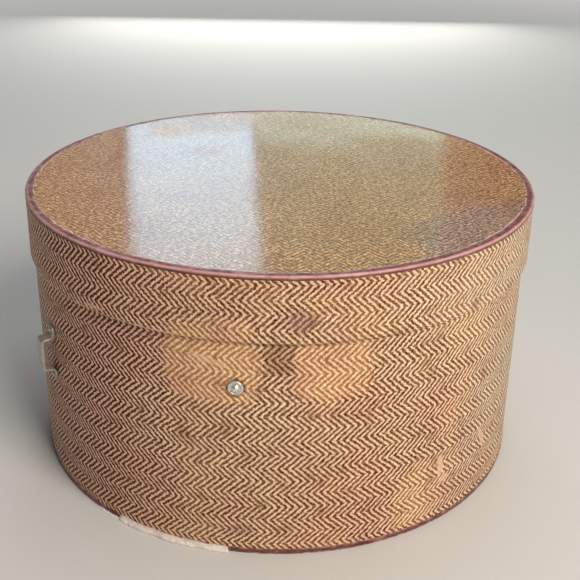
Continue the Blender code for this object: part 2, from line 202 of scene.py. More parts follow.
def make_plain_stock(name, roughness, fibre_size, dark, light, stains, relief=None,
                     flecks=None, edge=None):
    """Board or unprinted paper: fibres from dark to light, then stains as (size, level, softness,
    strength, colour), and (strength, colour) for the flecks and for the painted edge. It gives
    the shader and the fibres too, for a stock that needs more."""
    material, tree, shader = new_material(name, roughness)
    place = object_place(tree)
    fibre = use_group(FIBRE, Place=place, Size=fibre_size)
    colour = mix(fibre["Grain"], dark, light)
    for size, level, softness, strength, stain in stains:
        colour = tint(colour, blotches(place, size, level, softness), strength, stain)
    if flecks:
        colour = tint(colour, fibre["Flecks"], *flecks)
    if edge:
        colour = tint(colour, attribute(tree, "edge"), *edge)
    feed(shader, "Base Color", colour)
    if relief:
        add_relief(shader, fibre["Grain"], relief)
    return material, shader, fibre["Grain"]


PULP_BOARD = make_plain_stock(
    "pulp_board", 0.92, 0.0012, dye(176, 158, 136), dye(222, 208, 186),
    [(0.05, 0.52, 0.12, 0.35, dye(128, 104, 84))], 0.0003, flecks=(0.4, dye(110, 88, 70)))[0]
for node in ("body_hoop", "base_disc", "lid_hoop", "lid_disc"):
    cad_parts[node].data.materials.clear()
    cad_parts[node].data.materials.append(PULP_BOARD)


# ---- Body covering ----
# One sheet of herringbone-printed paper round the drum, glued with a lap at the back, and
# turned over the mouth and down inside. It has faded and scuffed since, and a square just
# under the lid at the front is darker.
PAPER = 0.0004
PAPER_LAP = 0.012
LAP_RISE = 0.00025
GLUE_GAP = 0.0003
SHEET_STEPS = 364
FOLD_RADIUS = 0.0012
BODY_SEAM = radians(149.0)

covering_low, covering_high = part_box("body_covering")
lid_low, lid_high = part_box("lid_skirt_covering")
stud_low, stud_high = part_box("front_stud_flange")
BODY_RADIUS = (covering_high.x - covering_low.x) / 2
STUD_MIDDLE = (stud_low + stud_high) / 2
STUD_ANGLE = atan2(STUD_MIDDLE.x, -STUD_MIDDLE.y)
MOUTH_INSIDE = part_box("body_lining")[1].x
MOUTH_TURN_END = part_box("body_lining")[1].z + GLUE_GAP

PRINT_BAND = 0.0106
PRINT_PITCH = 0.0050
PRINT_SLANT = 1.06


def make_herringbone_group():
    """Printed herringbone. Place is the sheet in metres, with the rows along x and a row of
    points that aim towards -x at y = 0. Ink is 1 on a dark line."""
    tree, takes, gives = new_group("herringbone_print", ["Place", "Waver"], ["Ink", "Thin"])
    place = takes["Place"]

    def vectors(operation, inputs):
        return add_node(tree, "VectorMath", inputs, operation=operation).outputs[0]

    def drift(size, far):
        stir = add_node(tree, "TexNoise", {"Vector": place, "Scale": 1.0 / size, "Detail": 2.0})
        either_way = vectors("SUBTRACT", {0: stir.outputs["Color"], 1: (0.5, 0.5, 0.5)})
        return vectors("SCALE", {0: either_way, "Scale": times(takes["Waver"], far)})

    moved = vectors("ADD", {0: place, 1: drift(0.045, 0.0028)})
    moved = vectors("ADD", {0: moved, 1: drift(0.0040, 0.0013)})
    apart = add_node(tree, "SeparateXYZ", {0: moved})
    along, up = apart.outputs[0], apart.outputs[1]
    from_point = maths("PINGPONG", up, PRINT_BAND)
    row = maths("FLOOR", maths("DIVIDE", up, PRINT_BAND))
    slip = add_node(tree, "TexWhiteNoise", {"W": row}, noise_dimensions="1D").outputs["Value"]
    slip = times(maths("SUBTRACT", slip, 0.5), 0.16)
    leaning = maths("SUBTRACT", along, times(from_point, PRINT_SLANT))
    count = maths("ADD", maths("DIVIDE", leaning, PRINT_PITCH), slip)
    stripe = times(maths("PINGPONG", count, 0.5), 2.0)
    broken = cloud(place, 0.0020, 4.0, 0.65)
    spread = ramp(broken, 0.28, 0.72, 0.08, 0.82)
    ink = ramp(maths("SUBTRACT", stripe, spread), -0.10, 0.10)
    tree.links.new(ink, gives["Ink"])
    tree.links.new(ramp(cloud(place, 0.0021, 3.0), 0.35, 0.7), gives["Thin"])
    return tree


def make_patch_group():
    """One mark on the surface: Place is centred on it and scaled so that it ends at 1."""
    tree, takes, gives = new_group("patch", ["Place", "Ragged", "Grain", "Soft"], ["Mask"])
    apart = add_node(tree, "SeparateXYZ", {0: takes["Place"]})
    fourths = [maths("POWER", maths("ABSOLUTE", apart.outputs[axis]), 4.0) for axis in (0, 1)]
    reach = maths("POWER", maths("ADD", *fourths), 1 / 4)
    torn = add_node(tree, "TexNoise", {"Vector": takes["Place"], "Scale": takes["Grain"], "Detail": 5.0})
    shift = times(maths("SUBTRACT", torn.outputs["Fac"], 0.5), takes["Ragged"])
    inner = maths("SUBTRACT", 1.05, takes["Soft"])
    tree.links.new(ramp(maths("ADD", reach, shift), inner, 1.08, 1.0, 0.0), gives["Mask"])
    return tree


def make_wear_group():
    """Rubbed folds and cut edges. Edge is 1 on the fold and falls to 0 beside it."""
    tree, takes, gives = new_group("edge_wear", ["Place", "Edge", "Amount", "Size"], ["Worn"])
    patchy = cloud(takes["Place"], takes["Size"], 6.0, 0.65)
    reach = times(takes["Edge"], takes["Amount"])
    tree.links.new(ramp(maths("ADD", patchy, reach), 0.86, 1.04), gives["Worn"])
    return tree


HERRINGBONE = make_herringbone_group()
PATCH = make_patch_group()
EDGE_WEAR = make_wear_group()

TAN = dye(241, 203, 166)
YELLOW_TAN = dye(242, 214, 175)
ROSE_TAN = dye(232, 186, 165)
DARK_INK = dye(96, 34, 2)
FADED_INK = dye(180, 114, 64)
BARE_PAPER = dye(246, 206, 176)
UNFADED_TAN, UNFADED_INK = dye(246, 196, 172), dye(74, 22, 2)
# Paper and ink for the right side: partly sun-faded, partly a painted sheen of the light on that side.
SUNNED_SHEEN_TAN, SUNNED_SHEEN_INK = dye(229, 215, 190), dye(152, 104, 54)


def mark_mask(place, mark, soft=0.22):
    """A mark's mask from (middle, half sizes, turn, raggedness)."""
    middle, half, turn, ragged = mark
    held = moved_place(place, (*middle, 0.0), turn, (*half, 1.0), "TEXTURE")
    return use_group(PATCH, Place=held, Ragged=ragged, Grain=2.5, Soft=soft)["Mask"]


def make_herringbone_paper(name, print_origin, seam, radius, marks):
    """The covering paper. The sheet's own map gives metres round from the seam and up the box.
    Marks are (kind, degrees from the front, height, half sizes, turn, raggedness, strength)."""
    material, tree, shader = new_material(name, 0.45, Specular_IOR_Level=0.06)
    sheet = add_node(tree, "UVMap", uv_map="sheet").outputs[0]
    place = object_place(tree)
    printed = use_group(HERRINGBONE, Place=moved_place(sheet, (0.0, -print_origin, 0.0)), Waver=1.0)
    fibre = use_group(FIBRE, Place=place, Size=0.0007)
    cast = cloud(place, 0.11, 3.0)
    age = blotches(place, 0.035, 0.55, 0.16)
    grime = blotches(place, 0.012, 0.62, 0.08)

    def marked(wanted, value=0.0, soft=0.22):
        for kind, angle, height, half, turn, ragged, strength in marks:
            if kind == wanted:
                middle = ((radians(angle) - seam) % tau * radius, height)
                mask = times(mark_mask(sheet, (middle, half, turn, ragged), soft), strength)
                value = maths("MAXIMUM", value, mask)
        return value

    fade = ramp(cloud(place, 0.06, 4.0), 0.40, 0.72, 0.0, 0.65)
    fade = marked("faded", fade)
    fade = maths("SUBTRACT", fade, marked("dark", times(age, 0.3)), clamp=True)
    tan = mix(ramp(cast, 0.35, 0.65), TAN, YELLOW_TAN)
    tan = tint(tan, age, 0.6, ROSE_TAN)
    unfaded = marked("unfaded", soft=0.8)
    # Paler, greyer paper and fainter ink on the right: partly fading, partly painted sheen.
    sunned_and_sheen = marked("sunned_and_sheen", soft=0.8)
    tan = mix(sunned_and_sheen, mix(unfaded, tan, UNFADED_TAN), SUNNED_SHEEN_TAN)
    ink = mix(unfaded, mix(fade, DARK_INK, FADED_INK), UNFADED_INK)
    ink = tint(ink, sunned_and_sheen, 0.7, SUNNED_SHEEN_INK)
    thin = times(printed["Thin"], maths("SUBTRACT", 0.28, times(unfaded, 0.28)))
    depth = times(printed["Ink"], maths("SUBTRACT", 1.0, thin))
    colour = mix(depth, tan, ink)
    # A darker brown square just under the lid at the front.
    colour = mix(marked("darker_square"), colour, dye(110, 44, 20))
    mottle = ramp(cloud(place, 0.0016, 3.0, 0.6), 0.3, 0.7, 0.80, 1.16)
    colour = mix(1.0, colour, mottle, "MULTIPLY")
    colour = tint(colour, grime, 0.45, dye(120, 70, 46))
    colour = mix(marked("smudge"), colour, dye(130, 92, 90))
    # Painted shadow: a near-black ring round the stud's flange, where the dimpled paper lies in shade.
    colour = mix(marked("stud_shadow"), colour, dye(44, 24, 16))
    edge = attribute(tree, "edge")
    worn = use_group(EDGE_WEAR, Place=place, Edge=edge, Amount=0.68, Size=0.006)["Worn"]
    bare = marked("bare", worn)
    colour = mix(bare, colour, mix(fibre["Grain"], dye(222, 174, 142), BARE_PAPER))
    feed(shader, "Base Color", colour)
    rough = maths("ADD", times(bare, 0.35), ramp(fibre["Grain"], 0.3, 0.7, 0.36, 0.52))
    feed(shader, "Roughness", rough)
    height = maths("ADD", times(printed["Ink"], -0.25), times(fibre["Grain"], 0.5))
    height = maths("ADD", height, times(bare, -0.8))
    add_relief(shader, height, 0.00012)
    return material


def walk(points, longest):
    """The same line with no stretch longer than this."""
    line = [points[0]]
    for (r0, z0), (r1, z1) in zip(points, points[1:]):
        pieces = max(1, round(((r1 - r0) ** 2 + (z1 - z0) ** 2) ** 0.5 / longest))
        line += [(r0 + (r1 - r0) * i / pieces, z0 + (z1 - z0) * i / pieces) for i in range(1, pieces + 1)]
    return line


def fades(far, reach):
    """1 where far is nothing, and 0 from reach on."""
    return max(0.0, 1 - far / reach)


def rises(far, reach):
    """0 where far is nothing or less, and 1 from reach on."""
    return min(1.0, max(0.0, far / reach))


def bend(centre_r, centre_z, radius, start, end, steps=5):
    """Points of a rounded fold, from one angle to another in degrees."""
    turns = [radians(start + (end - start) * i / steps) for i in range(steps + 1)]
    return [(centre_r + radius * cos(turn), centre_z + radius * sin(turn)) for turn in turns]


def wall_point(angle, height, radius=BODY_RADIUS):
    return Vector((radius * sin(angle), -radius * cos(angle), height))


def spin(work, line, angle, steps, closed=True):
    """Sweeps a line of points and edges round the axis."""
    bmesh.ops.spin(work, geom=line, cent=(0, 0, 0), axis=(0, 0, 1), angle=angle, steps=steps,
                   use_merge=closed)


def turned_sheet(profile, start, sweep, steps=SHEET_STEPS):
    """An open sheet: a line of (radius, height) swept round the axis. Each point keeps how far
    round and how far across the sheet it lies."""
    sheet = bmesh.new()
    around = sheet.verts.layers.float.new("around")
    across = sheet.verts.layers.float.new("across")
    sheet.verts.layers.float.new("edge")
    row = [sheet.verts.new(wall_point(start, height, radius)) for radius, height in profile]
    line = [sheet.edges.new(pair) for pair in zip(row, row[1:])]
    lengths = [0.0]
    for stretch in line:
        lengths.append(lengths[-1] + stretch.calc_length())
    spin(sheet, row + line, sweep, steps, False)
    sheet.verts.index_update()
    for point in sheet.verts:
        turn, i = divmod(point.index, len(profile))
        point[around] = sweep * turn / steps
        point[across] = lengths[i]
    bmesh.ops.recalc_face_normals(sheet, faces=sheet.faces)
    sheet.normal_update()
    return sheet


def refine(sheet, spots, reach, cuts):
    """A closer mesh within reach of each spot."""
    near = [edge for edge in sheet.edges
            if any(((edge.verts[0].co + edge.verts[1].co) / 2 - spot).length < reach for spot in spots)]
    bmesh.ops.subdivide_edges(sheet, edges=near, cuts=cuts, use_grid_fill=True)
    sheet.normal_update()


def push(sheet, amount):
    """Moves each point out along the surface by amount(point, around, across)."""
    around = sheet.verts.layers.float["around"]
    across = sheet.verts.layers.float["across"]
    moves = [(point, point.normal * amount(point.co, point[around], point[across]))
             for point in sheet.verts]
    for point, move in moves:
        point.co += move
    sheet.normal_update()


def mark_edge(sheet, strength):
    """Paints the edge layer with strength(position), for the wear."""
    edge = sheet.verts.layers.float["edge"]
    for point in sheet.verts:
        point[edge] = strength(point.co)


def add_object(name, data):
    thing = bpy.data.objects.new(name, data)
    bpy.context.scene.collection.objects.link(thing)
    return thing


def finish_piece(name, work, material, body, node=None, thickness=0.0, map_radius=None, map_foot=0.0,
                 sharp=38.0):
    """The worked mesh as a piece of the box: given its thickness, shaded and fixed to its body."""
    if map_radius is not None:
        around = work.verts.layers.float["around"]
        across = work.verts.layers.float["across"]
        uv = work.loops.layers.uv.new("sheet")
        for face in work.faces:
            for corner in face.loops:
                corner[uv].uv = (corner.vert[around] * map_radius, corner.vert[across] + map_foot)
    if thickness:
        bmesh.ops.solidify(work, geom=work.faces[:], thickness=thickness)
    for point in work.verts:
        point.co.z = max(point.co.z, 0.0)
    mesh = bpy.data.meshes.new(name)
    work.to_mesh(mesh)
    work.free()
    mesh.shade_smooth()
    mesh.set_sharp_from_angle(angle=radians(sharp))
    mesh.materials.append(material)
    piece = add_object(name, mesh)
    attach(piece, body)
    if node:
        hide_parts(node)


def ripple(co, size, depth, seed=0.0):
    return depth * noise.noise(Vector((co.x, co.y, co.z + seed)) / size)


def lap_rise(around):
    """How far the sheet's last end stands on its first."""
    past = (around - tau) * BODY_RADIUS + 0.003
    return LAP_RISE * rises(past, 0.003)


BODY_MARKS = [
    ("faded", -44.5, 0.149, (0.037, 0.027), 0.0, 0.45, 1.0),
    ("faded", -20.0, 0.152, (0.029, 0.026), 0.0, 0.5, 0.9),
    ("dark", -4.0, 0.115, (0.045, 0.055), 0.0, 1.2, 0.35),
    # A darker square just under the lid at the front.
    ("dark", -30.8, 0.1605, (0.0102, 0.0140), 0.0, 0.08, 1.0),
    ("darker_square", -30.8, 0.1605, (0.0102, 0.0140), 0.0, 0.08, 0.34),
    ("dark", -34.0, 0.108, (0.026, 0.014), 0.0, 0.9, 0.6),
    ("dark", -68.0, 0.100, (0.060, 0.075), 0.0, 0.9, 0.6),
    ("unfaded", -78.0, 0.100, (0.105, 0.130), 0.0, 0.9, 0.8),
    # The right side's paler patch: partly fading, partly painted sheen.
    ("sunned_and_sheen", 42.0, 0.120, (0.130, 0.150), 0.0, 0.9, 0.75),
    ("smudge", -38.0, 0.021, (0.010, 0.004), 0.1, 1.2, 0.35),
    # A painted shadow ring round the front stud's flange.
    ("stud_shadow", -39.1, STUD_MIDDLE.z, (0.0066, 0.0066), 0.7, 0.5, 0.6),
    ("bare", -44.4, 0.1555, (0.015, 0.0022), -0.28, 1.6, 0.5),
    ("bare", 6.2, 0.050, (0.0030, 0.0090), 0.15, 1.5, 0.8),
    ("bare", 7.5, 0.037, (0.0045, 0.0028), 0.3, 1.5, 0.7),
    ("bare", 21.0, 0.052, (0.0026, 0.0120), 0.5, 1.4, 0.65),
    ("bare", -110.0, 0.090, (0.0030, 0.0110), 0.4, 1.5, 0.6),
    ("bare", 120.0, 0.140, (0.0110, 0.0022), -0.2, 1.6, 0.6),
]
BODY_PAPER = make_herringbone_paper("body_herringbone_paper", STUD_MIDDLE.z, BODY_SEAM, BODY_RADIUS,
                                    BODY_MARKS)
FASTENER_SPOTS = [wall_point(STUD_ANGLE, STUD_MIDDLE.z), wall_point(STUD_ANGLE + pi, STUD_MIDDLE.z)]


def make_body_covering():
    foot, top = covering_low.z, covering_high.z
    outline = [
        (BODY_RADIUS, foot),
        *bend(BODY_RADIUS - FOLD_RADIUS, top - FOLD_RADIUS, FOLD_RADIUS, 0, 90),
        *bend(MOUTH_INSIDE - PAPER + FOLD_RADIUS, top - FOLD_RADIUS, FOLD_RADIUS, 90, 180),
        (MOUTH_INSIDE - PAPER, MOUTH_TURN_END),
    ]
    sheet = turned_sheet(walk(outline, 0.0045), BODY_SEAM, tau + PAPER_LAP / BODY_RADIUS)
    refine(sheet, FASTENER_SPOTS, 0.016, 3)

    def unevenness(co, around, across):
        under_lid = rises(lid_low.z - co.z, 0.012)
        out = (ripple(co, 0.055, 0.00035) + ripple(co, 0.018, 0.00012)) * under_lid + lap_rise(around)
        for spot in FASTENER_SPOTS:
            far = (co - spot).length
            out -= 0.00045 * exp(-(far / 0.0065) ** 2)
            out += 0.00022 * exp(-((far - 0.0095) / 0.0025) ** 2)
        return out

    push(sheet, unevenness)
    mark_edge(sheet, lambda co: fades(top - co.z, 0.0025))
    finish_piece("body_covering_sheet", sheet, BODY_PAPER, "body", "body_covering",
                 thickness=PAPER, map_radius=BODY_RADIUS, map_foot=foot)


make_body_covering()


# ---- Base binding ----
# A strip of oxblood bookcloth glued round the foot of the wall and turned under the base. A
# stretch at the front left has been torn off, all but a thread of its upper edge.
TEAR_FROM = radians(-67.6)
TEAR_TO = radians(-40.5)
OXBLOOD = dye(112, 56, 54)
CLOTH_DARK = dye(72, 32, 34)
CLOTH_WORN = dye(204, 158, 148)
binding_low, binding_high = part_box("base_binding")
BINDING_RADIUS = (binding_high.x - binding_low.x) / 2
BASE_CLOTH = 0.0006


def make_weave_group():
    """Plain weave. Place is the cloth in metres and Thread the width of one thread."""
    tree, takes, gives = new_group("weave", ["Place", "Thread"], ["Height"])
    apart = add_node(tree, "SeparateXYZ", {0: takes["Place"]})
    waves = []
    for axis in (0, 1):
        turns = times(maths("DIVIDE", apart.outputs[axis], takes["Thread"]), pi)
        waves.append(maths("SINE", turns))
    tree.links.new(ramp(times(*waves), -1.0, 1.0), gives["Height"])
    return tree


WEAVE = make_weave_group()


def make_binding_cloth(name, wear, base, faded):
    """Bookcloth. One attribute marks a painted pale pink highlight along the top of the bead, partly rubbed
    wear as well; another marks the lower edge, darkened as painted shadow.
    """
    material, tree, shader = new_material(name, 0.5, Specular_IOR_Level=0.4, Coat_Weight=0.15,
                                          Coat_Roughness=0.3)
    sheet = add_node(tree, "UVMap", uv_map="sheet").outputs[0]
    place = object_place(tree)
    weave = use_group(WEAVE, Place=sheet, Thread=0.00045)["Height"]
    fade = blotches(place, 0.020, 0.50, 0.14)
    grime = blotches(place, 0.006, 0.55, 0.10)
    edge = attribute(tree, "edge")
    worn = use_group(EDGE_WEAR, Place=place, Edge=edge, Amount=wear, Size=0.004)["Worn"]
    bead_highlight_and_rub = attribute(tree, "bead_highlight_and_rub")
    hem_shadow = attribute(tree, "hem_shadow")
    colour = mix(fade, base, faded)
    colour = tint(colour, grime, 0.6, CLOTH_DARK)
    colour = tint(colour, ramp(weave, 0.0, 1.0, 0.35, 0.0), 0.6, CLOTH_DARK)
    # Painted highlight, partly rubbed wear as well: a pale pink band along the bead where it faces up and
    # out.
    pale_rim = times(bead_highlight_and_rub, ramp(cloud(place, 0.008, 3.0), 0.25, 0.60, 0.55, 1.0))
    scuffed = blotches(place, 0.009, 0.60, 0.07)
    colour = tint(colour, scuffed, 0.5, dye(196, 148, 142))
    colour = mix(pale_rim, colour, dye(222, 170, 168))
    # Painted shadow: darkens the cloth along its lower edge.
    colour = tint(colour, hem_shadow, 0.8, CLOTH_DARK)
    colour = mix(worn, colour, CLOTH_WORN)
    feed(shader, "Base Color", colour)
    feed(shader, "Roughness", ramp(grime, 0.0, 1.0, 0.38, 0.6))
    height = maths("SUBTRACT", times(weave, 0.5), times(worn, 0.4))
    add_relief(shader, height, 0.00012)
    return material


BASE_CLOTH_FINISH = make_binding_cloth("base_binding_cloth", 0.42, OXBLOOD, dye(132, 72, 68))


def tear_depth(angle):
    """How much of the binding's width is left at an angle: 1 away from the tear."""
    angle = (angle + pi) % tau - pi
    inside = min(angle - TEAR_FROM, TEAR_TO - angle)
    ragged = noise.noise(Vector((angle * 38, 0.3, 0.7)))
    if inside < 0:
        return 1.0
    thread = 0.07 + 0.05 * ragged
    ends = 1 - min(1.0, inside / radians(0.9 + 0.4 * ragged))
    return max(thread, ends)


def make_base_binding():
    top, turn = binding_high.z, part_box("base_paper")[1].x + GLUE_GAP
    radius = 0.0013
    outline = [
        (BINDING_RADIUS - 0.00025, top),
        (BINDING_RADIUS, top - 0.0004),
        *bend(BINDING_RADIUS - radius, radius, radius, 0, -90),
        (turn, 0.0),
    ]
    profile = walk(outline, 0.0005)
    start = BODY_SEAM - 0.12
    sheet = turned_sheet(profile, start, tau + PAPER_LAP / BODY_RADIUS, 728)
    around = sheet.verts.layers.float["around"]
    across = sheet.verts.layers.float["across"]
    lengths = sorted({point[across] for point in sheet.verts})

    def profile_at(length):
        for i in range(len(lengths) - 1):
            if length <= lengths[i + 1]:
                share = (length - lengths[i]) / (lengths[i + 1] - lengths[i])
                (r0, z0), (r1, z1) = profile[i], profile[i + 1]
                return r0 + (r1 - r0) * share, z0 + (z1 - z0) * share
        return profile[-1]

    for point in sheet.verts:
        angle = start + point[around]
        left = tear_depth(angle)
        if left < 1:
            point[across] *= left
            radius_there, height = profile_at(point[across])
            point.co = wall_point(angle, height, radius_there)
    sheet.normal_update()
    push(sheet, lambda co, around, across: ripple(co, 0.012, 0.00010) + lap_rise(around))
    mark_edge(sheet, lambda co: 1.0 if co.z > top - 0.0007 or abs(co.z - 0.0008) < 0.0006 else 0.35)
    finish_piece("base_binding_strip", sheet, BASE_CLOTH_FINISH, "body", "base_binding",
                 thickness=BASE_CLOTH * 0.8, map_radius=BODY_RADIUS)


make_base_binding()


# ---- Torn base edge ----
# Where the binding has gone, its torn backing and the split, furred edge of the board stand
# out from the wall as a pale ragged strip, with a clean break at its right end.
TORN_FIBRE = make_plain_stock(
    "torn_board_fibre", 0.95, 0.0009, dye(222, 202, 192), dye(254, 246, 238),
    [(0.010, 0.54, 0.08, 0.25, dye(170, 136, 132))], 0.0004, edge=(0.7, dye(120, 72, 70)))[0]


def make_torn_edge():
    """The strip leans out from the wall to its lower edge, and thins to a sliver at the left."""
    top, sliver = 0.0050, radians(6.0)
    lip = BINDING_RADIUS + 0.0029
    outline = [
        (BINDING_RADIUS - 0.0009, top),
        (BINDING_RADIUS + 0.0003, top - 0.0005),
        (BINDING_RADIUS + 0.0012, 0.0026),
        (lip - 0.0003, 0.0012),
        *bend(lip - 0.0005, 0.0006, 0.0005, 40, -80, 4),
        (BINDING_RADIUS - 0.0030, 0.0001),
    ]
    start = TEAR_FROM - sliver
    sweep = TEAR_TO - TEAR_FROM - radians(0.3) + sliver
    sheet = turned_sheet(walk(outline, 0.0004), start, sweep, 260)

    def fur(co, around, across):
        return ripple(co, 0.0032, 0.00040) + ripple(co, 0.0010, 0.00028)

    push(sheet, fur)
    around = sheet.verts.layers.float["around"]
    for point in sheet.verts:
        inside = point[around] - sliver
        left_end = max(0.0, inside / radians(1.2))
        right_end = max(0.0, (sweep - point[around]) / radians(0.5)) + 0.35
        full = min(1.0, left_end, right_end)
        full = max(full, 0.22 + 0.10 * ripple(point.co, 0.004, 1.0))
        if point.co.z > top - 0.0022:
            point.co.z += 0.0011 * noise.noise(Vector((point.co.x, point.co.y, 0.1)) / 0.0035) - 0.0002
        flat = point.co.xy.normalized()
        reach = point.co.xy.length - BINDING_RADIUS
        wave = 0.85 + 0.5 * noise.noise(Vector((point.co.x, point.co.y, 4.1)) / 0.011)
        if reach > 0:
            reach *= wave * (0.45 + 0.55 * full)
        elif inside < 0:
            reach = max(reach, -0.0003) + 0.0003
        point.co.x = flat.x * (BINDING_RADIUS + reach)
        point.co.y = flat.y * (BINDING_RADIUS + reach)
        point.co.z *= full
    mark_edge(sheet, lambda co: fades(top - co.z, 0.0009))
    finish_piece("torn_base_edge", sheet, TORN_FIBRE, "body", thickness=0.0004)


make_torn_edge()


# ---- Base paper ----
# A disc of brown kraft paper on the underside, inside the turned binding. It is scuffed
# where the box has been slid along shelves.
KRAFT_PAPER = make_plain_stock(
    "base_kraft_paper", 0.88, 0.0010, dye(166, 134, 98), dye(196, 166, 128),
    [(0.060, 0.50, 0.15, 0.4, dye(138, 106, 76)), (0.009, 0.64, 0.05, 0.5, dye(214, 192, 162))],
    0.00012, flecks=(0.35, dye(96, 70, 48)))[0]


def paper_disc(radius, height, rings, spokes):
    """A flat disc in rings, closed at its middle, facing up."""
    disc = bmesh.new()
    line = [disc.verts.new((0.0, -radius * i / rings, height)) for i in range(rings + 1)]
    edges = [disc.edges.new(pair) for pair in zip(line, line[1:])]
    spin(disc, line + edges, tau, spokes)
    bmesh.ops.remove_doubles(disc, verts=disc.verts, dist=0.00002)
    bmesh.ops.recalc_face_normals(disc, faces=disc.faces)
    if disc.faces[:][0].normal.z < 0:
        bmesh.ops.reverse_faces(disc, faces=disc.faces)
    disc.verts.layers.float.new("edge")
    disc.normal_update()
    return disc


def make_base_paper():
    low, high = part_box("base_paper")
    sheet = paper_disc(high.x, high.z, 30, 180)
    for point in sheet.verts:
        inside = rises(high.x - point.co.xy.length, 0.01)
        point.co.z += max(0.0, ripple(point.co, 0.04, 0.0001)) * inside
    finish_piece("base_paper_disc", sheet, KRAFT_PAPER, "body", "base_paper",
                 thickness=high.z - low.z)


make_base_paper()


# ---- Linings of the body ----
# Aged cream paper pasted inside the wall and on the base, with foxing, and the soft cockles
# that paste leaves.
def make_lining_paper():
    material, shader, grain = make_plain_stock(
        "lining_paper", 0.82, 0.0008, dye(214, 198, 166), dye(232, 218, 188),
        [(0.090, 0.50, 0.18, 0.5, dye(196, 172, 132)), (0.007, 0.67, 0.05, 0.45, dye(160, 112, 66))],
        edge=(0.5, dye(168, 138, 100)))
    feed(shader, "Roughness", ramp(grain, 0.2, 0.8, 0.72, 0.9))
    cockled = cloud(object_place(shader.id_data), 0.02, 2.0)
    add_relief(shader, maths("ADD", times(grain, 0.2), cockled), 0.0004)
    return material


LINING_PAPER = make_lining_paper()
LINING = 0.0004


def make_wall_lining(name, node, body, seam):
    """Lining paper up the inside of a wall, facing the axis, with a lap at its seam."""
    low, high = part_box(node)
    inner = high.x - LINING
    sheet = turned_sheet(walk([(inner, high.z), (inner, low.z)], 0.006), seam, tau + PAPER_LAP / inner, 240)
    wall = sheet.faces[:][0]
    if wall.normal.dot(wall.calc_center_median()) > 0:
        bmesh.ops.reverse_faces(sheet, faces=sheet.faces)
        sheet.normal_update()

    def cockle(co, around, across):
        held = rises(min(high.z - co.z, co.z - low.z), 0.012)
        return max(0.0, ripple(co, 0.030, 0.0003)) * held

    if body == "body":
        push(sheet, cockle)
    mark_edge(sheet, lambda co: fades(min(high.z - co.z, co.z - low.z), 0.010))
    finish_piece(name, sheet, LINING_PAPER, body, node, thickness=LINING)


def make_disc_lining(name, node, body, up):
    low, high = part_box(node)
    sheet = paper_disc(high.x, high.z if up else low.z, 34, 200)
    if not up:
        bmesh.ops.reverse_faces(sheet, faces=sheet.faces)
        sheet.normal_update()
    for point in sheet.verts:
        held = rises(high.x - point.co.xy.length, 0.02)
        point.co += point.normal * max(0.0, ripple(point.co, 0.035, 0.0004)) * held
    mark_edge(sheet, lambda co: fades(high.x - co.xy.length, 0.012))
    finish_piece(name, sheet, LINING_PAPER, body, node, thickness=LINING)


make_wall_lining("body_lining_sheet", "body_lining", "body", radians(60.0))
make_disc_lining("base_lining_disc", "base_lining", "body", up=True)


# ---- Strap studs ----
# A nickelled flange with a rolled rim, and a domed post through it and the wall, clinched on
# a washer inside. The front one took the strap's keeper; its pair is opposite.
def make_scratch_group():
    """Fine scratches in one direction, and dull spots."""
    tree, takes, gives = new_group("metal_wear", ["Place", "Size"], ["Scratches", "Spots"])
    stretched = add_node(tree, "Mapping", {"Vector": takes["Place"], "Scale": (9.0, 1.0, 2.0),
                                           "Rotation": (0.4, 0.3, 0.6)})
    tree.links.new(cloud(stretched.outputs[0], takes["Size"], 6.0, 0.7), gives["Scratches"])
    spots = cloud(takes["Place"], times(takes["Size"], 0.8), 4.0, 0.6)
    tree.links.new(ramp(spots, 0.50, 0.66), gives["Spots"])
    return tree


METAL_WEAR = make_scratch_group()


def make_metal(name, slot, bright, dull, tarnish, low, high, metallic):
    """Worn plated steel and its slot. Low and high are its roughness where polished and dull."""
    material, tree, shader = new_material(name, low, Metallic=metallic)
    wear = use_group(METAL_WEAR, Place=object_place(tree), Size=0.0022)
    colour = mix(wear["Scratches"], bright, dull)
    colour = mix(times(wear["Spots"], 0.55), colour, tarnish)
    feed(shader, "Base Color", colour)
    feed(shader, "Roughness", maths("ADD", low, times(wear["Spots"], high - low)))
    add_relief(shader, wear["Scratches"], 0.00004)
    return material, slot


NICKEL = make_metal("worn_nickel", "nickelled_steel", dye(250, 248, 244), dye(226, 222, 214),
                    dye(140, 126, 110), 0.34, 0.58, 0.8)


def turned_metal(profile, steps):
    """A closed turned shape about Z, whose outline starts and ends on the axis."""
    work = bmesh.new()
    row = [work.verts.new((radius, 0.0, height)) for radius, height in profile]
    line = [work.edges.new(pair) for pair in zip(row, row[1:])]
    spin(work, row + line, tau, steps)
    bmesh.ops.remove_doubles(work, verts=work.verts, dist=0.000005)
    bmesh.ops.recalc_face_normals(work, faces=work.faces)
    return work


def turned_ring(profile, steps):
    """A closed ring about Z, from a closed outline clear of the axis."""
    return turned_metal([*profile, profile[0]], steps)


def set_in_wall(name, node, work, plating, angle, height, out=BODY_RADIUS, sharp=38.0):
    """Turns a fitting made about Z to point out of the wall, and finishes it as a piece."""
    turn = Matrix.Rotation(angle, 4, "Z") @ Matrix.Rotation(pi / 2, 4, "X")
    stand = Matrix.Translation((0, 0, height)) @ turn @ Matrix.Translation((0, 0, out))
    bmesh.ops.transform(work, matrix=stand, verts=work.verts)
    material, slot = plating
    finish_piece(name, work, material, "body", node, sharp=sharp)


def round_off(work, corners, offset, segments, affect="EDGES"):
    bmesh.ops.bevel(work, geom=corners, offset=offset, segments=segments, profile=0.5, affect=affect,
                    material=-1)


def dome(radius, foot, rise, steps=10):
    """A domed head's outline from its middle out, ending in a small rounded lip."""
    lip = 0.00025
    points = []
    for i in range(steps + 1):
        out = (radius - lip) * i / steps
        points.append((out, foot + lip + (rise - lip) * (1 - (i / steps) ** 2.4)))
    return points + bend(radius - lip, foot + lip, lip, 60, -60, 4)


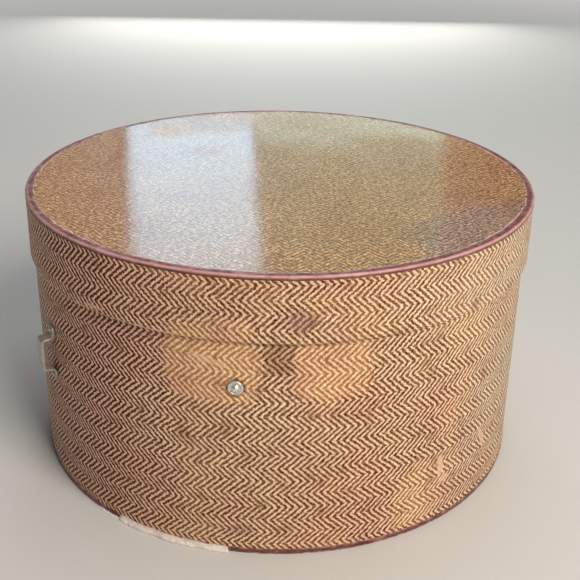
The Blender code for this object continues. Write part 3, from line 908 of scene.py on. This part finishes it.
def make_stud(side, angle):
    flange_radius, rim_width, rim_top, floor_top = 0.0054, 0.0014, 0.0016, 0.0009
    half = rim_width / 2
    flange = turned_ring([
        *bend(flange_radius - half, rim_top - half, half, 180, 0, 12),
        *bend(flange_radius - 0.0002, 0.0005, 0.0002, 0, -90, 3),
        (0.0018, 0.0003),
        (0.0018, floor_top),
        (flange_radius - rim_width - 0.0003, floor_top),
    ], 64)
    set_in_wall(side + "_stud_ring", side + "_stud_flange", flange, NICKEL, angle, STUD_MIDDLE.z, sharp=55)

    low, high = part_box(side + "_stud_washer")
    washer_middle = (low + high) / 2
    washer_out = washer_middle.xy.length - BODY_RADIUS
    washer_top, washer_foot = washer_out + 0.0004, washer_out - 0.0004
    post = turned_metal([
        *dome(0.0031, 0.0012, 0.0022),
        (0.0015, 0.0012),
        (0.0015, washer_foot - 0.0003),
        *bend(0.0021, washer_foot - 0.0006, 0.0003, 90, -60, 4),
        (0.0, washer_foot - 0.0010),
    ], 48)
    lean = Matrix.Rotation(radians(4.0), 4, "X") @ Matrix.Rotation(radians(5.0), 4, "Y")
    crown = [point for point in post.verts if point.co.z > 0.0011]
    bmesh.ops.transform(post, matrix=lean, verts=crown)
    set_in_wall(side + "_stud_head", side + "_stud_post", post, NICKEL, angle, STUD_MIDDLE.z, sharp=50)

    washer = turned_ring([
        (0.0018, washer_top),
        *bend(0.0043, washer_top - 0.0002, 0.0002, 90, 0, 3),
        *bend(0.0043, washer_foot + 0.0002, 0.0002, 0, -90, 3),
        (0.0018, washer_foot),
    ], 48)
    set_in_wall(side + "_stud_inner_washer", side + "_stud_washer", washer, NICKEL, angle, STUD_MIDDLE.z)


for stud_side, stud_angle in (("front", STUD_ANGLE), ("rear", STUD_ANGLE + pi)):
    make_stud(stud_side, stud_angle)


# ---- Strap loops ----
# A footman's loop on each side: tinned strip bent out into an upright bar, riveted through a
# foot above and a foot below onto a plate inside the wall.
LOOP_WIDTH = 0.0108
LOOP_STRIP = 0.0016
LOOP_STAND = 0.0110
TINNED = make_metal("dull_tinned_strip", "tinned_steel", dye(206, 200, 190), dye(160, 150, 138),
                    dye(104, 94, 80), 0.36, 0.60, 0.45)


def make_loop(side, angle):
    low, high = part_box(side + "_loop")
    middle, reach = (low.z + high.z) / 2, (high.z - low.z) / 2
    foot_line, bar_line = GLUE_GAP + LOOP_STRIP / 2, LOOP_STAND - LOOP_STRIP / 2
    bar_half, root = 0.0131, 0.0140
    corners = [(-reach, foot_line), (-root, foot_line), (-bar_half, bar_line),
               (bar_half, bar_line), (root, foot_line), (reach, foot_line)]
    strip = bmesh.new()
    line = [strip.verts.new((-LOOP_WIDTH / 2, up, out)) for up, out in corners]
    edges = [strip.edges.new(pair) for pair in zip(line, line[1:])]
    grown = bmesh.ops.extrude_edge_only(strip, edges=edges)["geom"]
    far = [point for point in grown if isinstance(point, bmesh.types.BMVert)]
    bmesh.ops.translate(strip, verts=far, vec=(LOOP_WIDTH, 0.0, 0.0))
    bmesh.ops.recalc_face_normals(strip, faces=strip.faces)
    ends = [point for point in strip.verts if abs(abs(point.co.y) - reach) < 0.0001]
    round_off(strip, ends, 0.0042, 6, "VERTICES")
    bends = [edge for edge in strip.edges if edge.calc_length() > LOOP_WIDTH * 0.9
             and abs(edge.verts[0].co.y - edge.verts[1].co.y) < 0.0001]
    round_off(strip, bends, 0.0028, 7)
    wall = strip.faces[:][0]
    if wall.normal.z < 0:
        bmesh.ops.reverse_faces(strip, faces=strip.faces)
    bmesh.ops.translate(strip, verts=strip.verts, vec=(0.0, 0.0, LOOP_STRIP / 2))
    bmesh.ops.solidify(strip, geom=strip.faces[:], thickness=LOOP_STRIP)
    strip.normal_update()
    rims = [edge for edge in strip.edges
            if len(edge.link_faces) == 2 and edge.calc_face_angle() > radians(60)]
    round_off(strip, rims, 0.00035, 3)
    set_in_wall(side + "_strap_loop", side + "_loop", strip, TINNED, angle, middle, sharp=30)

    plate_low, plate_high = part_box(side + "_loop_backing_plate")
    plate_size = plate_high - plate_low
    plate = bmesh.new()
    bmesh.ops.create_cube(plate, size=1.0)
    bmesh.ops.scale(plate, vec=(plate_size.y, plate_size.z, plate_size.x), verts=plate.verts)
    uprights = [edge for edge in plate.edges if abs(edge.verts[0].co.z - edge.verts[1].co.z) > 0.0005]
    round_off(plate, uprights, 0.0030, 5)
    flats = [edge for edge in plate.edges if edge.calc_face_angle() > radians(60)]
    round_off(plate, flats, 0.0002, 2)
    plate_out = abs((plate_low.x + plate_high.x) / 2)
    set_in_wall(side + "_loop_inner_plate", side + "_loop_backing_plate", plate, TINNED, angle, middle,
                plate_out)

    plate_foot = plate_out - plate_size.x / 2 - BODY_RADIUS
    head_foot = GLUE_GAP + LOOP_STRIP + 0.0002
    for place in ("upper", "lower"):
        node = f"{side}_loop_{place}_rivet"
        rivet_low, rivet_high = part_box(node)
        rivet_middle = (rivet_low.z + rivet_high.z) / 2
        rivet = turned_metal([
            *dome(0.0026, head_foot, 0.0013, 8),
            (0.0013, head_foot),
            (0.0013, plate_foot - 0.0003),
            *bend(0.0020, plate_foot - 0.0006, 0.0003, 90, -60, 4),
            (0.0, plate_foot - 0.0010),
        ], 36)
        set_in_wall(node + "_turned", node, rivet, TINNED, angle, rivet_middle, sharp=50)


for loop_side, loop_angle in (("left", radians(-90.0)), ("right", radians(90.0))):
    make_loop(loop_side, loop_angle)


# ---- Lid skirt covering ----
# The same herringbone paper round the lid's skirt, folded under its lower edge and turned up
# inside. The fold is rubbed pale, and the edge isn't quite level any more.
SKIRT_SEAM = radians(112.0)
SKIRT_RADIUS = (lid_high.x - lid_low.x) / 2
SKIRT_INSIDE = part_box("lid_skirt_lining")[1].x - PAPER
SKIRT_TURN_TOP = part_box("lid_skirt_lining")[0].z - GLUE_GAP
LID_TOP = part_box("lid_binding")[1].z
SKIRT_POINT_ROW = LID_TOP - 0.0178

SKIRT_MARKS = [
    ("smudge", -26.6, 0.1890, (0.0085, 0.0085), 0.5, 1.3, 0.38),
    ("faded", -44.0, 0.181, (0.030, 0.009), 0.0, 0.9, 0.75),
    ("faded", 22.0, 0.192, (0.050, 0.020), 0.0, 0.9, 0.4),
    ("dark", -58.0, 0.195, (0.050, 0.018), 0.0, 0.9, 0.5),
    ("unfaded", -78.0, 0.195, (0.100, 0.060), 0.0, 0.9, 0.8),
    # The skirt's paler right side: partly fading, partly painted sheen.
    ("sunned_and_sheen", 35.0, 0.195, (0.150, 0.060), 0.0, 0.9, 0.95),
    ("bare", 24.0, 0.200, (0.0060, 0.0016), 0.5, 1.5, 0.6),
    ("bare", -70.0, 0.1760, (0.0100, 0.0012), 0.0, 1.6, 0.6),
]
SKIRT_PAPER = make_herringbone_paper("skirt_herringbone_paper", SKIRT_POINT_ROW, SKIRT_SEAM, SKIRT_RADIUS,
                                     SKIRT_MARKS)


def make_skirt_covering():
    foot, top = lid_low.z, lid_high.z
    fold = 0.0009
    outline = [
        (SKIRT_RADIUS, top),
        *bend(SKIRT_RADIUS - fold, foot + fold, fold, 0, -90),
        *bend(SKIRT_INSIDE + fold, foot + fold, fold, -90, -180),
        (SKIRT_INSIDE, SKIRT_TURN_TOP),
    ]
    sheet = turned_sheet(walk(outline, 0.003), SKIRT_SEAM, tau + PAPER_LAP / SKIRT_RADIUS)
    across = sheet.verts.layers.float["across"]
    for point in sheet.verts:
        point[across] = top - point[across]

    def unevenness(co, around, across):
        if co.xy.length <= SKIRT_RADIUS - 0.0012:
            return 0.0
        waves = max(0.0, ripple(co, 0.06, 0.0006, 0.4)) + ripple(co, 0.015, 0.0001)
        return waves * rises(top - co.z, 0.03) + lap_rise(around)

    push(sheet, unevenness)
    for point in sheet.verts:
        low_part = fades(point.co.z - foot, 0.010)
        point.co.z += low_part * ripple(Vector((point.co.x, point.co.y, 0.0)), 0.07, 0.0006)

    def pale_rim(co):
        """The fold is worn most at the left, where the hand takes the lid."""
        at_left = max(0.0, cos(atan2(co.x, -co.y) - radians(-85)))
        return fades(co.z - foot, 0.0018) * (0.55 + 0.6 * at_left)

    mark_edge(sheet, pale_rim)
    finish_piece("lid_skirt_covering_sheet", sheet, SKIRT_PAPER, "lid",
                 "lid_skirt_covering", thickness=PAPER, map_radius=SKIRT_RADIUS)


make_skirt_covering()


# ---- Lid top covering ----
# A disc of the same print, which the maker finished with a glossy varnish. The varnish has
# yellowed, and the paper under it has sunk a little between its paste marks.
TOP_PRINT_TURN = radians(-31.0 - 91.5)
TOP_MARKS_TURN = radians(31.0)
DULL_MARKS = [
    ((-0.100, 0.130), (0.025, 0.031), 0.2, 1.4, 0.50),
    ((-0.043, 0.173), (0.038, 0.022), 0.0, 1.4, 0.42),
    ((-0.063, 0.062), (0.019, 0.015), 0.0, 1.4, 0.32),
]
# A painted reflection of a window: a bluish-grey patch on the near right of the lid top.
WINDOW_REFLECTION_MARK = ((0.160, -0.114), (0.078, 0.042), 0.54, 0.45)


def make_varnished_paper():
    material, tree, shader = new_material("varnished_herringbone_paper", 0.10, IOR=1.52)
    place = object_place(tree)
    printed = use_group(HERRINGBONE, Place=moved_place(place, turn=-TOP_PRINT_TURN), Waver=2.5)
    fibre = use_group(FIBRE, Place=place, Size=0.0011)
    age = blotches(place, 0.050, 0.52, 0.15)
    grime = blotches(place, 0.0035, 0.56, 0.12)
    speckle = blotches(place, 0.0016, 0.52, 0.10)
    tan = mix(age, dye(236, 188, 138), dye(222, 172, 124))
    ink = mix(fibre["Grain"], dye(96, 54, 22), dye(150, 98, 50))
    thin = maths("SUBTRACT", 0.9, times(printed["Thin"], 0.6))
    colour = mix(times(printed["Ink"], thin), tan, ink)
    colour = tint(colour, speckle, 0.7, dye(118, 68, 34))
    colour = tint(colour, grime, 0.4, dye(116, 66, 36))
    mottle = ramp(cloud(place, 0.0034, 4.0, 0.75), 0.34, 0.66, 0.48, 1.48)
    colour = mix(1.0, colour, mottle, "MULTIPLY")
    seen = moved_place(place, turn=TOP_MARKS_TURN)
    # Painted reflection: tints that patch bluish-grey.
    colour = mix(mark_mask(seen, WINDOW_REFLECTION_MARK, 0.14), colour, (0.82, 0.855, 1.02, 1.0), "MULTIPLY")
    feed(shader, "Base Color", colour)
    dull = 0.0
    for *shape, strength in DULL_MARKS:
        dull = maths("MAXIMUM", dull, times(mark_mask(seen, shape, 0.7), strength))
    rough = ramp(fibre["Grain"], 0.3, 0.7, 0.040, 0.080)
    feed(shader, "Roughness", maths("ADD", rough, times(dull, 0.45)))
    height = maths("ADD", times(printed["Ink"], -0.5), times(fibre["Grain"], 0.6))
    add_relief(shader, height, 0.00003)
    return material


def make_top_covering():
    low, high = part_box("lid_top_covering")
    sheet = paper_disc(high.x + 0.0012, high.z, 60, 240)
    for point in sheet.verts:
        held = rises(high.x - point.co.xy.length, 0.03)
        point.co.z += (ripple(point.co, 0.09, 0.00035) + ripple(point.co, 0.03, 0.00006)) * held
    finish_piece("lid_top_covering_disc", sheet, make_varnished_paper(), "lid",
                 "lid_top_covering", thickness=PAPER)


make_top_covering()


# ---- Lid binding ----
# Oxblood bookcloth over the lid's top edge, rolled over a cord of paper that makes the bead,
# with a flat part on the top and a short drop on the skirt. Its inner edge was cut by hand.
rim_low, rim_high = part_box("lid_binding")
LID_RADIUS = (rim_high.x - rim_low.x) / 2
LID_CLOTH = 0.0005
CUT_REACH = 0.0035
LID_CLOTH_FINISH = make_binding_cloth("lid_binding_cloth", 0.85, dye(122, 62, 58), dye(142, 84, 78))


def make_lid_binding():
    top, foot = rim_high.z, rim_low.z
    flat = top - 0.00010
    bead = 0.0023
    outline = [
        (LID_RADIUS - 0.0070, flat - 0.0002),
        (LID_RADIUS - 0.0062, flat),
        (LID_RADIUS - 0.0034, flat),
        (LID_RADIUS - 0.0028, flat - 0.00025),
        *bend(LID_RADIUS - bead, top - bead, bead, 92, 0, 9),
        (LID_RADIUS - 0.0001, foot + 0.0004),
        (LID_RADIUS - 0.0005, foot),
    ]
    profile = walk(outline, 0.0006)
    start = radians(100.0)
    sheet = turned_sheet(profile, start, tau + PAPER_LAP / LID_RADIUS, 540)
    across = sheet.verts.layers.float["across"]
    around = sheet.verts.layers.float["around"]
    for point in sheet.verts:
        spot = wall_point(start + point[around], 0.0)
        cut = 0.0012 * noise.noise(spot / 0.05) + 0.0016 * noise.noise(spot / 0.006)
        cut += 0.0018 * max(0.0, noise.noise(spot / 0.11 + Vector((0.0, 0.0, 3.1))))
        out = point.co.xy.normalized() * -cut * fades(point[across], CUT_REACH)
        point.co.x += out.x
        point.co.y += out.y

    def unevenness(co, around, across):
        return ripple(co, 0.010, 0.00012) + ripple(co, 0.045, 0.00015) - 0.00015

    def worn_edge(co):
        """The cut edge frays all round, most at the left, and is chipped at the right."""
        across_flat = co.xy.length - (LID_RADIUS - 0.0072)
        angle = atan2(co.x, -co.y)
        chipped = fades(abs(angle - radians(40)), radians(3))
        at_left = 0.8 * fades(abs(angle - radians(-82)), radians(34))
        return max(fades(across_flat, 0.0018), (1 - across_flat / 0.0040) * max(chipped, at_left))

    push(sheet, unevenness)
    mark_edge(sheet, worn_edge)
    # Painted highlight on the bead, partly rubbed wear: strongest where the bead faces 48 degrees up and
    # out.
    bead_highlight_and_rub = sheet.verts.layers.float.new("bead_highlight_and_rub")
    # The lowest 0.6 mm of the drop is marked for a painted shadow along the lower edge.
    hem_shadow = sheet.verts.layers.float.new("hem_shadow")
    for point in sheet.verts:
        out, up = point.co.xy.length - (LID_RADIUS - bead), point.co.z - (top - bead)
        point[bead_highlight_and_rub] = max(0.0, 1 - abs(atan2(up, out) - radians(48)) / radians(42)) if out > 0 else 0.0
        point[hem_shadow] = fades(point.co.z - foot, 0.0006)
    finish_piece("lid_binding_strip", sheet, LID_CLOTH_FINISH, "lid", "lid_binding",
                 thickness=LID_CLOTH, map_radius=LID_RADIUS, sharp=60)


make_lid_binding()


# ---- Linings of the lid ----
# The same cream paper under the disc and round the inside of the skirt, down to the covering's
# turned-up edge.
make_wall_lining("lid_skirt_lining_sheet", "lid_skirt_lining", "lid", radians(-150.0))
make_disc_lining("lid_lining_disc", "lid_lining", "lid", up=False)


# ---- Studio ----
# A pale floor and soft boxes, round a camera that stands front left of the box. The two tall
# boxes beyond it are what the varnished lid mirrors. Places are measured from the box's axis,
# with y away from the camera.
CAMERA_TURN = radians(-31.0)


def studio(x, y, z):
    return Matrix.Rotation(CAMERA_TURN, 3, "Z") @ Vector((x, y, z))


def add_soft_box(name, place, aim, width, height, brightness, colour=(1.0, 1.0, 1.0)):
    """A rectangular light of this brightness, seen only by what it lights."""
    lamp = bpy.data.lights.new(name, "AREA")
    lamp.shape = "RECTANGLE"
    lamp.size, lamp.size_y = width, height
    lamp.energy = brightness * width * height * pi
    lamp.color = colour
    light = add_object(name, lamp)
    spot = studio(*place)
    light.location = spot
    light.rotation_euler = (studio(*aim) - spot).to_track_quat("-Z", "Y").to_euler()
    light.visible_camera = False


BACKDROP = (0.80, 0.79, 0.77, 1.0)


def make_floor():
    """Pale and lit near the box, and glowing like the backdrop far from it, so that they meet."""
    material, tree, shader = new_material("pale_floor", 0.9, Specular_IOR_Level=0.2)
    apart = add_node(tree, "SeparateXYZ", {0: object_place(tree)})
    squares = [times(apart.outputs[axis], apart.outputs[axis]) for axis in (0, 1)]
    far = ramp(maths("SQRT", maths("ADD", *squares)), 1.0, 4.0)
    near_colour = (0.66, 0.65, 0.635, 1.0)
    feed(shader, "Base Color", mix(far, near_colour, (0.0, 0.0, 0.0, 1.0)))
    shader.inputs["Emission Color"].default_value = BACKDROP
    feed(shader, "Emission Strength", far)
    work = bmesh.new()
    bmesh.ops.create_grid(work, x_segments=4, y_segments=4, size=14.0)
    mesh = bpy.data.meshes.new("floor")
    work.to_mesh(mesh)
    work.free()
    mesh.materials.append(material)
    add_object("floor", mesh)


def make_surroundings():
    """Pale where the camera looks past the floor, and dimmer as a light on the box."""
    world = bpy.data.worlds.new("studio")
    bpy.context.scene.world = world
    world.use_nodes = True
    tree = world.node_tree
    tree.nodes.clear()
    seen = add_node(tree, "LightPath").outputs["Is Camera Ray"]
    backdrop = add_node(tree, "Background", {"Color": BACKDROP, "Strength": 1.0})
    glow = add_node(tree, "Background", {"Color": (0.90, 0.94, 1.0, 1.0), "Strength": 0.07})
    chosen = add_node(tree, "MixShader", {0: seen, 1: glow.outputs[0], 2: backdrop.outputs[0]})
    add_node(tree, "OutputWorld", {"Surface": chosen.outputs[0]})


def make_camera():
    middle = (CAD_BOX[1][2] - CAD_BOX[0][2]) / 2
    distance, elevation = 0.8496, radians(25.52)
    pan, tilt, roll = radians(-0.603), radians(2.675), radians(-0.757)
    spot = studio(0.0, -distance * cos(elevation), distance * sin(elevation))
    ahead = -spot.normalized()
    right = ahead.cross(Vector((0, 0, 1))).normalized()
    up = right.cross(ahead)
    for axis, turn in (("up", pan), ("right", tilt), ("ahead", roll)):
        held = {"up": up, "right": right, "ahead": ahead}[axis].copy()
        swing = Matrix.Rotation(turn, 3, held)
        ahead, right, up = swing @ ahead, swing @ right, swing @ up
    lens = bpy.data.cameras.new("camera")
    lens.lens, lens.sensor_width = 61.13, 36.0
    lens.shift_y = -0.069
    lens.clip_start = 0.05
    camera = add_object("camera", lens)
    pose = Matrix((right, up, -ahead)).transposed().to_4x4()
    pose.translation = spot + Vector((0, 0, middle))
    camera.matrix_world = pose
    bpy.context.scene.camera = camera


make_floor()
make_surroundings()
make_camera()
add_soft_box("key", (1.33, -1.84, 1.9), (0, 0, 0.1), 1.3, 1.3, 14.5, (1.0, 0.93, 0.83))
add_soft_box("fill", (-2.0, -1.2, 1.2), (0, 0, 0.1), 1.2, 1.2, 0.25, (0.86, 0.86, 1.0))
add_soft_box("overhead", (0.2, 0.3, 2.4), (0, 0, 0.2), 1.6, 1.6, 2.1)
add_soft_box("tall_left", (-0.255, 2.0, 1.06), (0, 0, 0.24), 0.38, 0.66, 3.3, (0.50, 0.80, 1.0))
add_soft_box("dim_middle", (0.205, 2.0, 1.08), (0, 0, 0.24), 0.55, 0.62, 0.5, (0.40, 1.0, 0.75))
add_soft_box("low_middle", (0.205, 2.0, 0.68), (0, 0, 0.24), 0.55, 0.18, 1.3, (0.60, 1.0, 0.88))
add_soft_box("tall_right", (0.70, 2.0, 1.25), (0, 0, 0.24), 0.50, 0.50, 0.42, (0.26, 0.74, 1.0))
add_soft_box("far_left", (-0.75, 2.0, 1.0), (0, 0, 0.24), 0.55, 0.9, 0.3, (1.0, 0.95, 0.9))
add_soft_box("back", (0.0, 2.0, 0.33), (0, 0, 0.12), 1.2, 0.5, 4.0, (1.0, 0.96, 0.9))
bpy.context.scene.view_settings.view_transform = "Standard"
